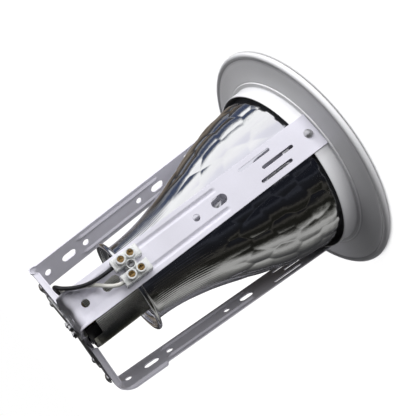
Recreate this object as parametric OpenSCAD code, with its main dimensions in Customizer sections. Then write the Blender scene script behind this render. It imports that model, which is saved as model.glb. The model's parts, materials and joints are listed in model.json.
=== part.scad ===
// Open recessed lamp fitting for a screw-cap grow lamp.
// The front of the trim lies on z = 0 and the mouth looks down. +Z runs up the
// lamp's axis to the three feet at the rear. The leg that carries the terminal
// block is on the -Y side. Millimetres.

/* [Trim ring] */
// Outer diameter of the trim flange
flange_d = 190; // [184:1:200]
// Thickness of the rounded outer rim
rim_t = 4.6; // [4.2:0.1:5.2]
// Outer diameter of the collar
collar_d = 138; // [137:0.5:140]
// Height of the collar's rear edge above the front plane
collar_top = 19.7; // [19:0.1:21]
// Thickness of the steel sheet
sheet_t = 1; // [0.9:0.1:1.2]

/* [Reflector] */
// Outer radius at the mouth
mouth_r = 66; // [64:0.5:66.5]
// Outer radius at the neck
neck_r = 31; // [29:0.5:33]
// Height at which the neck begins to flare
neck_z = 161; // [158:0.5:163]
// Outer radius of the rolled neck lip
lip_r = 37.5; // [36:0.5:39]
// Thickness of the spun aluminium
spun_t = 0.8; // [0.7:0.1:1]

/* [Legs] */
// Width of a leg strip
leg_w = 26; // [25:0.5:27]
// Lean of the legs towards the axis, in degrees
leg_lean = 3.8; // [3.6:0.1:4]
// Height of the feet's rear face
foot_top = 212; // [211.5:0.1:212.5]
// Radius inside the bend between a leg and its foot
bend_r = 5; // [4:0.5:6]
// Diameter of the round holes in a leg
leg_hole_d = 5.5; // [5:0.5:6]

/* [Lampholder] */
// Outer diameter of the ribbed sleeve
sleeve_d = 43.4; // [43:0.1:44]
// Height of the sleeve's front end
sleeve_z0 = 150; // [146:1:152]
// Height of the sleeve's rear end
sleeve_z1 = 207; // [206:0.5:207.5]
// Inner radius of the lamp's screw shell
shell_r = 13.3; // [13.2:0.05:13.4]

/* [Terminal block] */
// Height of the block's centre screw above the front plane
block_z = 165; // [164:0.5:167]
// Distance between the two poles
pole_pitch = 11.6; // [11:0.2:12]
// Length of a pole
pole_l = 20; // [19:0.5:21]
// Distance between the two clamp screws of a pole
screw_pitch = 7.2; // [7:0.1:7.4]
// Diameter of an insulated lead
lead_d = 2.7; // [2.2:0.1:2.9]

/* [Hidden] */
$fn = 64;

white = [0.87, 0.87, 0.92];
steel = [0.62, 0.62, 0.64];
brass = [0.78, 0.62, 0.3];
black = [0.07, 0.07, 0.07];

gap = 0.03;                       // running gap between touching pieces
collar_r = collar_d / 2;
leg_r0 = collar_r + gap;          // inner face of a leg at the collar
leg_z0 = collar_top + 0.5;        // where the leg starts to lean
foot_z = foot_top - sheet_t;      // front face of the feet
leg_azimuth = [0, 120, -120];
step_top = 7.7;                   // top of the step ring round the collar
collar_in = collar_r - 0.9;       // inner face of the collar

// Point on the leg's side view: s along the strip, d outwards from its inner
// face; the result is [radius, height].
function on_strip(s, d) = [leg_r0 - s * sin(leg_lean) + d * cos(leg_lean),
    leg_z0 + s * cos(leg_lean) + d * sin(leg_lean)];
function strip_s(z) = (z - leg_z0) / cos(leg_lean);

bend_s = (foot_z - bend_r + bend_r * sin(leg_lean) - leg_z0) / cos(leg_lean);
bend_c = on_strip(bend_s, -bend_r);
function bend_arc(r, from, to, n) =
    [for (i = [0:n]) bend_c + r * [cos(from + (to - from) * i / n),
        sin(from + (to - from) * i / n)]];

// Three hub screws stand on a small circle round the axis.
hub_screw_r = 4.6;
hub_screw_az = [30, 150, 270];
hub_plate_z = foot_top + gap;
hub_plate_t = 1.5;
core_z1 = 199;
bracket_z = foot_z - 2.6;

// Turns a [radius, height] outline into a plate of the given width that
// stands on the -Y side.
module plate(w, x = 0) {
    translate([x, 0, 0]) rotate([0, 0, -90]) rotate([90, 0, 0])
        linear_extrude(w, center = true) children();
}

module at_leg(i) {
    rotate([0, 0, leg_azimuth[i]]) children();
}

// Frame of the strip: Z runs along it, -Y points outwards from its inner face.
module on_leg(z) {
    translate([0, -on_strip(strip_s(z), 0)[0], on_strip(strip_s(z), 0)[1]])
        rotate([-leg_lean, 0, 0]) children();
}

// A stadium-shaped cutter, its long way along Z, that points along -Y.
module slot(w, l) {
    rotate([90, 0, 0]) {
        for (e = [-1, 1]) translate([0, e * (l - w) / 2, 0])
            cylinder(h = 12, d = w, center = true);
        cube([w, l - w, 12], center = true);
    }
}

// ---------------------------------------------------------------- trim ring

rivet_r = 1.9;

module rivet_hole(r) {
    translate([0, -leg_r0, rivet_z]) rotate([90, 0, 0]) cylinder(h = 6, r = r, center = true);
}

module trim_ring() {
    rim_r = rim_t / 2;
    out_r = flange_d / 2;
    color(white) difference() {
        trim_profile(rim_r, out_r);
        for (i = [0:2]) at_leg(i) rivet_hole(rivet_r + gap);
    }
}

module trim_profile(rim_r, out_r) {
    rotate_extrude($fn = 180) {
        // rounded rim with a flat front
        translate([out_r - rim_r, rim_r]) circle(rim_r, $fn = 48);
        translate([out_r - 7, 0]) square([7 - rim_r, rim_t]);
        // sloping back of the flange with its step ring, and the inner lip
        polygon([[out_r - 7, rim_t], [collar_r + 4, 6.8], [collar_r + 3.6, step_top],
            [collar_r, step_top], [collar_r - 0.9, step_top], [collar_r - 0.9, 4.6],
            [64, 3.6], [64, 2.6], [collar_r + 3, 4.6], [out_r - 7, 2.6]]);
        // collar with a rolled rear edge
        translate([collar_r - 0.9, 4.6]) square([0.9, collar_top - 5.1]);
        translate([collar_r - 0.6, collar_top - 0.6]) circle(0.6, $fn = 24);
    }
}

// ---------------------------------------------------------------- reflector

reflector_seat = 5.2;

// Outer radius of the bell at height z.
function bell_r(z) = neck_r + (mouth_r - neck_r)
    * (1 - cos(180 * (neck_z - z) / (neck_z - 12))) / 2;

module reflector() {
    steps = 22;
    z0 = 12;
    heights = [for (i = [0:steps]) z0 + (neck_z - z0) * i / steps];
    color([0.75, 0.75, 0.78]) rotate_extrude($fn = 120) {
        polygon(concat([for (z = heights) [bell_r(z), z]],
            [for (i = [steps:-1:0]) [bell_r(heights[i]) - spun_t, heights[i]]]));
        // straight rim band and the seat that rests on the trim's inner lip
        translate([mouth_r - spun_t, reflector_seat]) square([spun_t, z0 - reflector_seat]);
        translate([mouth_r - spun_t, reflector_seat]) square([spun_t + 1.3, spun_t]);
        // flared neck with its rolled lip
        polygon([[neck_r - spun_t, neck_z], [neck_r, neck_z],
            [neck_r + 1.6, neck_z + 1.4], [lip_r - 1.5, neck_z + 2.2],
            [lip_r - 1.5, neck_z + 3.1], [neck_r + 1, neck_z + 2.4]]);
        translate([lip_r - 1.7, neck_z + 3.4]) circle(1.7, $fn = 32);
    }
}

// --------------------------------------------------------------------- legs

// Places of the holes along a leg, by height.
hook_hole_z = 201;
long_slot_z = 181;
block_hole_z = block_z;
round_hole_z = 112;
oval_hole_z = 93;
rivet_z = 14.4;
groove_x = 8;
groove_z0 = 90;
groove_z1 = 172;
lip_z0 = 196;
lip_h = 2.2;

// The whole side view of the sheet, from the tab on the collar to the foot.
module leg_outline(foot_end) {
    polygon(concat(
        [[leg_r0, step_top + gap], [leg_r0 + sheet_t, step_top + gap], on_strip(0, sheet_t)],
        bend_arc(bend_r + sheet_t, leg_lean, 90, 10),
        [[foot_end, foot_top], [foot_end, foot_z]],
        bend_arc(bend_r, 90, leg_lean, 10), [on_strip(0, 0)]));
}

// The raised edge lips of the front foot, from the bend to near the hub.
module lip_outline(lip_end) {
    s0 = strip_s(lip_z0);
    polygon(concat(
        [on_strip(s0, sheet_t - 0.1), on_strip(s0 + 6, sheet_t + lip_h)],
        bend_arc(bend_r + sheet_t + lip_h, leg_lean, 90, 10),
        [[lip_end + 5, foot_top + lip_h], [lip_end, foot_top - 0.1]],
        bend_arc(bend_r + sheet_t - 0.1, 90, leg_lean, 10)));
}

// The pressed bead behind a groove, on the inner face of the strip.
module bead(l) {
    difference() {
        cylinder(h = l, r = 1.2, $fn = 24);
        translate([-2, -2.5, -1]) cube([4, 2, l + 2]);
    }
}

module leg(foot_end, lip_end) {
    groove_l = groove_z1 - groove_z0;
    difference() {
        union() {
            plate(leg_w) leg_outline(foot_end);
            for (e = [-1, 1]) {
                if (lip_end > 0) plate(1.2, e * (leg_w - 1.2) / 2) lip_outline(lip_end);
                on_leg(groove_z0) translate([e * groove_x, 0, 0]) bead(groove_l);
            }
        }
        for (e = [-1, 1]) on_leg(groove_z0 + 2) translate([e * groove_x, -1.3, 0])
            cylinder(h = groove_l - 4, r = 1.3, $fn = 24);
        on_leg(hook_hole_z) slot(leg_hole_d, leg_hole_d + 0.01);
        on_leg(long_slot_z) slot(6.5, 12.5);
        on_leg(block_hole_z) slot(leg_hole_d, leg_hole_d + 0.01);
        on_leg(round_hole_z) slot(5, 5.01);
        on_leg(oval_hole_z) slot(7, 12);
        // three slots for the ceiling springs
        on_leg(56.6) translate([7.9, 0, 0]) slot(2.5, 27);
        on_leg(42.2) slot(2.5, 27);
        on_leg(48.8) translate([-7.4, 0, 0]) slot(2.5, 27);
        rivet_hole(rivet_r + gap);
    }
}

foot_oval_r = 36;
foot_screw_r = 47;
foot_rivet_r = 29;
dimple_h = 1.9;     // depth of the pressed seat in the right foot
front_foot_end = -8;
side_foot_end = 15.4;
washer_t = 1.2;

// Cuts the screw's and the rivet's hole in a foot.
module foot_holes() {
    translate([0, -foot_screw_r, foot_z]) cylinder(h = 12, r = 2.1, center = true);
    translate([0, -foot_rivet_r, foot_z]) cylinder(h = 12, r = 1.6, center = true);
}

// The front leg's foot runs on under the hub and has an oval hole.
module leg_front() {
    color(white) difference() {
        leg(front_foot_end, 17);
        translate([0, -foot_oval_r, foot_z]) rotate([90, 0, 0]) slot(6, 9);
        hub_screw_holes(1.65);
    }
}

// The turned-down edges of a side foot.
module foot_edges() {
    for (e = [-1, 1]) plate(1.2, e * (leg_w - 1.2) / 2)
        polygon([[20, foot_z + 0.1], [20.6, foot_z - 3.6], [50, foot_z - 3.6],
            [54, foot_z + 0.1]]);
}

// A corner of the sheet left pointed at the bend.
module ear_outline() {
    out = bend_r + sheet_t + 0.4;
    polygon([bend_c + (out - 1) * [cos(15), sin(15)], bend_c + out * [cos(15), sin(15)],
        bend_c + [out + 0.9, out + 0.5], bend_c + out * [cos(78), sin(78)],
        bend_c + (out - 1) * [cos(78), sin(78)]]);
}

// This foot has a pressed seat round its screw, and one pointed corner.
module leg_right() {
    color(white) at_leg(1) difference() {
        union() {
            leg(side_foot_end, 0);
            foot_edges();
            plate(1.2, (1.2 - leg_w) / 2) ear_outline();
            translate([0, -foot_screw_r, foot_z - dimple_h])
                cylinder(h = dimple_h + 0.5, r1 = 7, r2 = 10.4);
        }
        translate([0, -foot_screw_r, foot_top - dimple_h])
            cylinder(h = dimple_h + 0.1, r1 = 6.5, r2 = 9.7);
        foot_holes();
    }
}

module leg_left() {
    color(white) at_leg(2) difference() {
        union() {
            leg(side_foot_end, 0);
            foot_edges();
        }
        foot_holes();
    }
}

// Width, thickness and outer face of the rim clips.
clip_w = 9;
clip_t = 0.7;
clip_out = sqrt(collar_in ^ 2 - (clip_w / 2) ^ 2) - gap;

// A dome-headed rivet through the leg's tab, the collar and the rim clip.
module collar_rivet(i) {
    shank = leg_r0 + sheet_t - clip_out + clip_t;
    color(steel) at_leg(i) translate([0, -leg_r0 - sheet_t, rivet_z]) rotate([90, 0, 0]) {
        translate([0, 0, -shank - 0.5]) cylinder(h = shank + 1, r = rivet_r);
        translate([0, 0, -shank - gap - 0.7]) cylinder(h = 0.7, r = 2.6);
        translate([0, 0, gap]) intersection() {
            translate([0, 0, -1.4]) sphere(r = 3.85);
            cylinder(h = 4, r = 4);
        }
    }
}

// A folded clip inside the collar that holds the reflector's rim down.
module rim_clip(i) {
    foot = reflector_seat + spun_t + gap;
    clip_in = clip_out - clip_t;
    color(steel) at_leg(i) difference() {
        plate(clip_w) polygon([[clip_out, 17.5], [clip_in, 17.5], [clip_in, foot + clip_t],
            [mouth_r + 0.15, foot + clip_t], [mouth_r + 0.15, foot], [clip_out, foot]]);
        rivet_hole(rivet_r + gap);
    }
}

// ---------------------------------------------------------------------- hub

module hub_screw_holes(r) {
    for (a = hub_screw_az) rotate([0, 0, a])
        translate([hub_screw_r, 0, foot_z]) cylinder(h = 30, r = r, center = true);
}

// Two-armed plate behind the feet that ties the legs together.
module hub_plate() {
    arm_w = 14;
    color(steel) difference() {
        translate([0, 0, hub_plate_z]) linear_extrude(hub_plate_t) {
            circle(11);
            for (i = [1, 2]) at_leg(i) {
                translate([-arm_w / 2, -foot_rivet_r]) square([arm_w, foot_rivet_r]);
                translate([0, -foot_rivet_r]) circle(arm_w / 2);
            }
        }
        hub_screw_holes(1.65);
        for (i = [1, 2]) at_leg(i)
            translate([0, -foot_rivet_r, foot_z]) cylinder(h = 12, r = 1.6, center = true);
    }
}

// A rivet through a side foot and the hub plate, domed at the rear.
module foot_rivet(i) {
    head_z = hub_plate_z + hub_plate_t + gap;
    color(steel) at_leg(i) translate([0, -foot_rivet_r, 0]) {
        translate([0, 0, foot_z - gap - 0.7]) cylinder(h = 0.7, r = 2.6);
        translate([0, 0, foot_z - 0.5]) cylinder(h = head_z - foot_z + 1, r = 1.55);
        translate([0, 0, head_z]) intersection() {
            translate([0, 0, -1.6]) sphere(r = 3.1);
            cylinder(h = 3, r = 3);
        }
    }
}

module at_hub_screw(i) {
    rotate([0, 0, hub_screw_az[i]]) translate([hub_screw_r, 0, 0]) children();
}

// Screws through the bracket, the front foot and the hub plate; heads inside.
module hub_screw(i) {
    color(steel) at_hub_screw(i) {
        translate([0, 0, bracket_z - gap - 2]) cylinder(h = 2, r = 2.6);
        translate([0, 0, bracket_z - 1]) cylinder(h = foot_top - bracket_z + 5, r = 1.4);
    }
}

module hub_nut(i) {
    color(steel) at_hub_screw(i) translate([0, 0, hub_plate_z + hub_plate_t + gap]) difference() {
        cylinder(h = 1.9, r = 2.9, $fn = 6);
        translate([0, 0, -1]) cylinder(h = 6, r = 1.43);
    }
}

// Short pan-headed screws that cut their own thread in the two side feet.
module foot_screw(i, seat, grip) {
    color(steel) at_leg(i) translate([0, -foot_screw_r, seat]) {
        translate([0, 0, -grip]) cylinder(h = grip + 0.5, r = 1.95);
        translate([0, 0, gap]) intersection() {
            translate([0, 0, -3.6]) sphere(r = 6);
            cylinder(h = 5, r = 3.9);
        }
    }
}

module foot_washer_right() {
    color(black) at_leg(1) translate([0, -foot_screw_r, foot_top - dimple_h + gap])
        difference() {
        cylinder(h = washer_t, r = 5.2);
        translate([0, 0, -1]) cylinder(h = 4, r = 2.05);
    }
}

// --------------------------------------------------------------- lampholder

// Ribbed metal sleeve with a square notch at the rear, on the -Y side.
module holder_sleeve() {
    r = sleeve_d / 2;
    color([0.45, 0.45, 0.4]) difference() {
        union() {
            translate([0, 0, sleeve_z0]) cylinder(h = sleeve_z1 - sleeve_z0, r = r - 0.25);
            for (i = [0:7]) translate([0, 0, sleeve_z0 + 1 + i * 6.4])
                cylinder(h = 5.8, r = r);
        }
        translate([0, 0, sleeve_z0 - 1]) cylinder(h = 80, r = r - 1.05);
        translate([-16.5, -30, 199.2]) cube([33, 30, 20]);
    }
}

core_r = sleeve_d / 2 - 1.15;
socket_floor = 180.5;

// Insulating ring round the screw shell.
module holder_ring() {
    color(black) difference() {
        translate([0, 0, sleeve_z0 + 2])
            cylinder(h = socket_floor - sleeve_z0 - 2 - gap, r = core_r);
        translate([0, 0, sleeve_z0]) cylinder(h = 40, r = 14.5);
    }
}

// Rear block of the holder: the socket's floor, and a well for the terminals.
module holder_core() {
    color(black) difference() {
        union() {
            translate([0, 0, socket_floor]) cylinder(h = core_z1 - socket_floor, r = core_r);
            translate([0, 0, core_z1 - 1]) cylinder(h = bracket_z - core_z1 + 1 - gap, r = 17.4);
        }
        // guide of the centre contact
        translate([0, 0, 170]) cylinder(h = 22, r = 1.75);
        // rear well for the hub screws and the terminals
        translate([0, 0, core_z1]) cylinder(h = 20, r = 14.6);
        translate([-8.5, -22, core_z1]) cube([17, 20, 20]);
    }
}

// Bridge between the holder's core and the front foot.
module holder_bracket() {
    color(steel) difference() {
        translate([0, 0, bracket_z]) intersection() {
            cylinder(h = 2.6 - gap, r = 17.4);
            cube([24, 40, 10], center = true);
        }
        hub_screw_holes(1.65);
    }
}

// Screw shell of the lamp socket: the part that the cap screws into, and a
// narrower rear end.
module screw_shell() {
    step_z = 172.8;
    color(brass) difference() {
        union() {
            translate([0, 0, sleeve_z0 + 3]) cylinder(h = step_z + 1 - sleeve_z0 - 3, r = 14.3);
            translate([0, 0, step_z]) cylinder(h = socket_floor - gap - step_z, r = 12.5);
        }
        translate([0, 0, sleeve_z0 + 2]) cylinder(h = step_z - sleeve_z0 - 2, r = shell_r);
        translate([0, 0, step_z - 1]) cylinder(h = 12, r = 11.5);
    }
}

contact_z = 174.5;
// Sprung centre contact: a button on a stem that slides in the core.
module centre_contact() {
    color(brass) {
        translate([0, 0, contact_z]) cylinder(h = 1.6, r = 4.6);
        translate([0, 0, contact_z]) cylinder(h = 12, r = 1.7);
        translate([0, 0, contact_z - 0.8]) intersection() {
            cylinder(h = 0.9, r = 3.4);
            translate([0, 0, 3.2]) sphere(r = 4);
        }
    }
}

spring_z0 = contact_z + 1.6 + gap;
spring_z1 = socket_floor - gap;
// Small coil spring behind the contact.
module contact_spring() {
    wire = 0.5;
    turns = 3;
    sides = 8;
    per_turn = 14;
    n = turns * per_turn;
    rise = spring_z1 - spring_z0 - wire;
    centres = [for (i = [0:n]) [2.9 * cos(360 * i / per_turn), 2.9 * sin(360 * i / per_turn),
        spring_z0 + wire / 2 + rise * i / n]];
    color(steel) tube(centres, wire, sides);
}

// Tube of round section along a list of points, closed at both ends.
module tube(pts, d, sides) {
    n = len(pts);
    function unit(v) = v / norm(v);
    function tangent(i) = unit(pts[min(i + 1, n - 1)] - pts[max(i - 1, 0)]);
    // the ring's first axis is carried from ring to ring without twisting
    function carry(a, t) = unit(a - (a * t) * t);
    axes = [for (i = 0, a = carry([0.31, 0.95, 0.12], tangent(0)); i < n;
        i = i + 1, a = i < n ? carry(a, tangent(i)) : a) a];
    points = [for (i = [0:n - 1]) for (j = [0:sides - 1])
        let (b = cross(tangent(i), axes[i]), q = 360 * j / sides)
        pts[i] + d / 2 * (cos(q) * axes[i] + sin(q) * b)];
    sides_of = [for (i = [0:n - 2]) for (j = [0:sides - 1])
        let (k = (j + 1) % sides, low = i * sides, high = low + sides)
        each [[low + j, high + j, high + k], [low + j, high + k, low + k]]];
    start_cap = [for (j = [0:sides - 1]) j];
    end_cap = [for (j = [sides - 1:-1:0]) (n - 1) * sides + j];
    polyhedron(points, concat([start_cap], sides_of, [end_cap]));
}

// Brass terminals at the holder's rear, where the leads end.
holder_term_x = 5.2;
holder_term_y = -14.5;
module holder_terminal(e) {
    color(brass) translate([e * holder_term_x, holder_term_y, core_z1 + gap]) difference() {
        translate([-2.3, -3.2, 0]) cube([4.6, 6.4, 5.6]);
        translate([0, 5, 2]) rotate([90, 0, 0]) cylinder(h = 20, r = 1.5);
        translate([0, 0, 2]) cylinder(h = 6, r = 1.2);
    }
}

module holder_screw(e) {
    color(steel) translate([e * holder_term_x, holder_term_y, core_z1]) {
        translate([0, 0, 3.5]) cylinder(h = 3, r = 1.15);
        translate([0, 0, 5.7 + gap]) cylinder(h = 1, r = 1.9);
    }
}

// ----------------------------------------------------------- terminal block

barrel_r = 2.9;
wire_hole_r = 2.1;
axis_h = 5.4;       // height of the wire holes above the strip's outer face
tower_top = 14;
centre_tower = 12;
centre_seat = 9;
seat_y = -sheet_t - gap;

// Frame of the block: on the strip's outer face, -Y is the block's height.
module on_block() {
    on_leg(block_z) translate([0, seat_y, 0]) children();
}

module up_from_leg() {
    rotate([90, 0, 0]) children();
}

module terminal_housing() {
    color([0.92, 0.93, 0.92, 0.9]) on_block() up_from_leg() difference() {
        union() {
            for (e = [-1, 1]) translate([e * pole_pitch / 2, 0, 0]) {
                translate([-3.9, -pole_l / 2, 0]) cube([7.8, pole_l, 9.4]);
                for (s = [-1, 1]) translate([0, s * screw_pitch / 2, 0])
                    cylinder(h = tower_top, r = 3.2);
            }
            translate([-3, -4, 0]) cube([6, 8, 6]);
            cylinder(h = centre_tower, r = 3.1);
        }
        for (e = [-1, 1]) translate([e * pole_pitch / 2, 0, 0]) {
            translate([0, 0, axis_h]) rotate([90, 0, 0])
                cylinder(h = pole_l + 2, r = barrel_r + 0.02, center = true);
            for (s = [-1, 1]) translate([0, s * screw_pitch / 2, axis_h])
                cylinder(h = 20, r = 2.3);
        }
        translate([0, 0, -1]) cylinder(h = 20, r = 1.6);
        translate([0, 0, centre_seat]) cylinder(h = 20, r = 2.5);
    }
}

module terminal_barrel(e) {
    color(brass) on_block() up_from_leg() translate([e * pole_pitch / 2, 0, axis_h])
        difference() {
            rotate([90, 0, 0]) cylinder(h = pole_l - 4, r = barrel_r, center = true);
            rotate([90, 0, 0]) cylinder(h = pole_l, r = wire_hole_r, center = true);
            for (s = [-1, 1]) translate([0, s * screw_pitch / 2, 0])
                cylinder(h = 9, r = 1.5);
        }
}

// Cross-headed clamp screw, its tip just above the wall of the wire hole.
module clamp_screw(e, s) {
    color(brass) on_block() up_from_leg()
        translate([e * pole_pitch / 2, s * screw_pitch / 2, axis_h]) difference() {
            union() {
                translate([0, 0, 2.35]) cylinder(h = 0.6, r1 = 1, r2 = 1.4);
                translate([0, 0, 2.95]) cylinder(h = 3.25, r = 1.4);
                translate([0, 0, 5]) cylinder(h = 2.4, r = 2.2);
            }
            for (a = [0, 90]) rotate([0, 0, a])
                translate([-1.5, -0.3, 6.4]) cube([3, 0.6, 2]);
        }
}

module terminal_mount_screw() {
    color(steel) on_block() up_from_leg() difference() {
        union() {
            translate([0, 0, -6]) cylinder(h = centre_seat + 7, r = 1.5);
            translate([0, 0, centre_seat + gap]) cylinder(h = 2, r = 2.45);
        }
        for (a = [0, 90]) rotate([0, 0, a])
            translate([-1.7, -0.35, centre_seat + 1.2]) cube([3.4, 0.7, 2]);
    }
}

module terminal_mount_washer() {
    color(steel) on_leg(block_z) translate([0, gap, 0]) rotate([-90, 0, 0]) difference() {
        cylinder(h = 1, r = 5);
        translate([0, 0, -1]) cylinder(h = 4, r = 1.55);
    }
}

module terminal_mount_nut() {
    color(steel) on_leg(block_z) translate([0, 1 + 2 * gap, 0]) rotate([-90, 0, 0])
        difference() {
            cylinder(h = 2.4, r = 3.1, $fn = 6);
            translate([0, 0, -1]) cylinder(h = 6, r = 1.53);
        }
}

// -------------------------------------------------------------------- leads

// Route of the black lead, from the right pole round the front leg's bend
// and under the foot to the holder's terminal.
black_route = [[5.8, -65.3, 173.9], [5.8, -65.3, 176], [5.7, -65.3, 179], [5.6, -65.3, 182.4],
    [5.7, -65.4, 186], [6.1, -65.5, 190], [6.9, -65.6, 194.4], [8.3, -65.7, 198.6],
    [10.2, -65.6, 202.4], [12.6, -65, 205.8], [15.2, -63.4, 208.4], [17.7, -60.6, 209.9],
    [19.1, -57, 210.5], [19.1, -53.4, 210.5], [17.9, -50.1, 210.1], [15.6, -47, 209.3],
    [13.4, -43.4, 208.3], [11.4, -38.8, 206.8], [9.6, -33.8, 204.9], [7.8, -28.6, 203],
    [6.2, -23.6, 201.5], [5.4, -19, 201.1], [5.2, -14.6, 201]];
// Route of the white lead, which crosses under the black one.
white_route = [[-5.8, -65.3, 173.9], [-5.7, -65.2, 176], [-5, -64.7, 178.9], [-3.3, -63.9, 182],
    [-0.8, -63.1, 184.9], [2, -62.5, 187.8], [4.6, -62.3, 190.9], [6.8, -62.4, 194.4],
    [8.8, -62.6, 198.1], [10.7, -62.6, 201.7], [12.9, -61.8, 204.9], [15, -59.9, 207.2],
    [16.2, -56.6, 208.2], [16, -53, 208], [14.6, -49.4, 207.4], [12, -45.7, 206.5],
    [8.8, -41.9, 205.5], [5.2, -37.8, 204.5], [1.6, -33.2, 203.3], [-1.6, -28.4, 202.1],
    [-3.9, -23.7, 201.4], [-5, -19, 201.1], [-5.2, -14.6, 201]];

module lead_black() { color(black) tube(black_route, lead_d, 10); }
module lead_white() { color([0.9, 0.89, 0.85]) tube(white_route, lead_d, 10); }

trim_ring();
reflector();
leg_front();
leg_right();
leg_left();
collar_rivet(0);  // collar_rivet_front
collar_rivet(1);  // collar_rivet_right
collar_rivet(2);  // collar_rivet_left
rim_clip(0);  // rim_clip_front
rim_clip(1);  // rim_clip_right
rim_clip(2);  // rim_clip_left
hub_plate();
foot_rivet(1);  // foot_rivet_right
foot_rivet(2);  // foot_rivet_left
hub_screw(0);  // hub_screw_1
hub_screw(1);  // hub_screw_2
hub_screw(2);  // hub_screw_3
hub_nut(0);  // hub_nut_1
hub_nut(1);  // hub_nut_2
hub_nut(2);  // hub_nut_3
foot_screw(1, foot_top - dimple_h + washer_t + gap, 2.8);  // foot_screw_right
foot_washer_right();
foot_screw(2, foot_top, 1.6);  // foot_screw_left
holder_sleeve();
holder_ring();
holder_core();
holder_bracket();
screw_shell();
centre_contact();
contact_spring();
holder_terminal(1);  // holder_terminal_live
holder_terminal(-1);  // holder_terminal_neutral
holder_screw(1);  // holder_screw_live
holder_screw(-1);  // holder_screw_neutral
terminal_housing();
terminal_barrel(1);  // terminal_barrel_live
terminal_barrel(-1);  // terminal_barrel_neutral
clamp_screw(1, 1);  // clamp_screw_1
clamp_screw(1, -1);  // clamp_screw_2
clamp_screw(-1, 1);  // clamp_screw_3
clamp_screw(-1, -1);  // clamp_screw_4
terminal_mount_screw();
terminal_mount_washer();
terminal_mount_nut();
lead_black();
lead_white();
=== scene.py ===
"""Looks for the open recessed lamp fitting: spun reflector, stamped legs, ribbed
lampholder, terminal block and leads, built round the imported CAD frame."""

import json
from math import cos, pi, radians, sin

import bmesh
import bpy
import numpy as np
from mathutils import Matrix, Vector

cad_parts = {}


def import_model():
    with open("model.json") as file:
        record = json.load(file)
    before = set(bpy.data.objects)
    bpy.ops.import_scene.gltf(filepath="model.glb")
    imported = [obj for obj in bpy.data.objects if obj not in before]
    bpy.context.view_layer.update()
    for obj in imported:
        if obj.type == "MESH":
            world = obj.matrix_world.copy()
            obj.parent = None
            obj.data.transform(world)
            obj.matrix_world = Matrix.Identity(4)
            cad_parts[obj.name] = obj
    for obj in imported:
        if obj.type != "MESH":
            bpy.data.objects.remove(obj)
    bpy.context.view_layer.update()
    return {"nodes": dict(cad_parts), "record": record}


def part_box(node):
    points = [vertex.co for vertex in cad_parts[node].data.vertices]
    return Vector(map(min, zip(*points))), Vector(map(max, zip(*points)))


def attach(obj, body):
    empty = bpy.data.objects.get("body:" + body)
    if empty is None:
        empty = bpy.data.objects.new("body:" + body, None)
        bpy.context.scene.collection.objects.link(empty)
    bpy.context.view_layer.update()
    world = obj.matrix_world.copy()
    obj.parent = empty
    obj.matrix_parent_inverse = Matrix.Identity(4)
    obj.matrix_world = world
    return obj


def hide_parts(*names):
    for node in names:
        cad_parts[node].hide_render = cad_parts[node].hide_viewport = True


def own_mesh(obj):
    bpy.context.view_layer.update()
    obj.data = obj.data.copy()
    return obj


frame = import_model()
MM = 0.001

# --------------------------------------------------------------- driving sizes
# All in millimetres, in the frame that the CAD parts share. Those that the frame
# holds are read from it; the others repeat the CAD source's values.


def span(node):
    """Lowest and highest corner of a CAD node, in millimetres."""
    low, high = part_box(node)
    return np.array(low) / MM, np.array(high) / MM


_, trim_high = span("trim_ring")
_, bell_high = span("reflector")
sleeve_low, sleeve_high = span("holder_sleeve")
leg_low, leg_high = span("leg_front")

FLANGE_R = trim_high[0]
COLLAR_TOP = trim_high[2]
COLLAR_R = 69.0
SLEEVE_R = sleeve_high[0]
LEG_W = leg_high[0] - leg_low[0]
SHEET = 1.0                      # thickness of a leg
LEG_R0 = COLLAR_R + 0.03         # inner face of a leg's tab, from the axis
LEG_Z0 = COLLAR_TOP + 0.5        # height where a leg starts to lean inwards
LEAN = radians(3.8)
FOOT_Z = 211.0                   # lower face of the feet
BEND_R = {"leg_front": 5.0, "leg_right": 5.0, "leg_left": 8.0}
LEG_AZ = {"leg_front": 0.0, "leg_right": radians(120), "leg_left": radians(-120)}


def smooth(x, a, b):
    """0 below a, 1 above b, eased between."""
    t = np.clip((np.asarray(x, float) - a) / (b - a), 0, 1)
    return t * t * (3 - 2 * t)


# ------------------------------------------------------------------ materials


def add_node(tree, kind, inputs=None, **props):
    """A node with its properties, and each input either linked or set."""
    n = tree.nodes.new(kind)
    for key, value in props.items():
        setattr(n, key, value)
    for key, value in (inputs or {}).items():
        if isinstance(value, bpy.types.NodeSocket):
            tree.links.new(value, n.inputs[key])
        else:
            n.inputs[key].default_value = value
    return n


def add_ramp(tree, source, stops):
    """A colour ramp; each stop is a place from 0 to 1 and a colour."""
    n = add_node(tree, "ShaderNodeValToRGB", {"Fac": source})
    elements = n.color_ramp.elements
    while len(elements) < len(stops):
        elements.new(0.5)
    for item, (place, colour) in zip(elements, stops):
        item.position = place
        item.color = (*colour, 1)
    return n.outputs["Color"]


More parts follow.
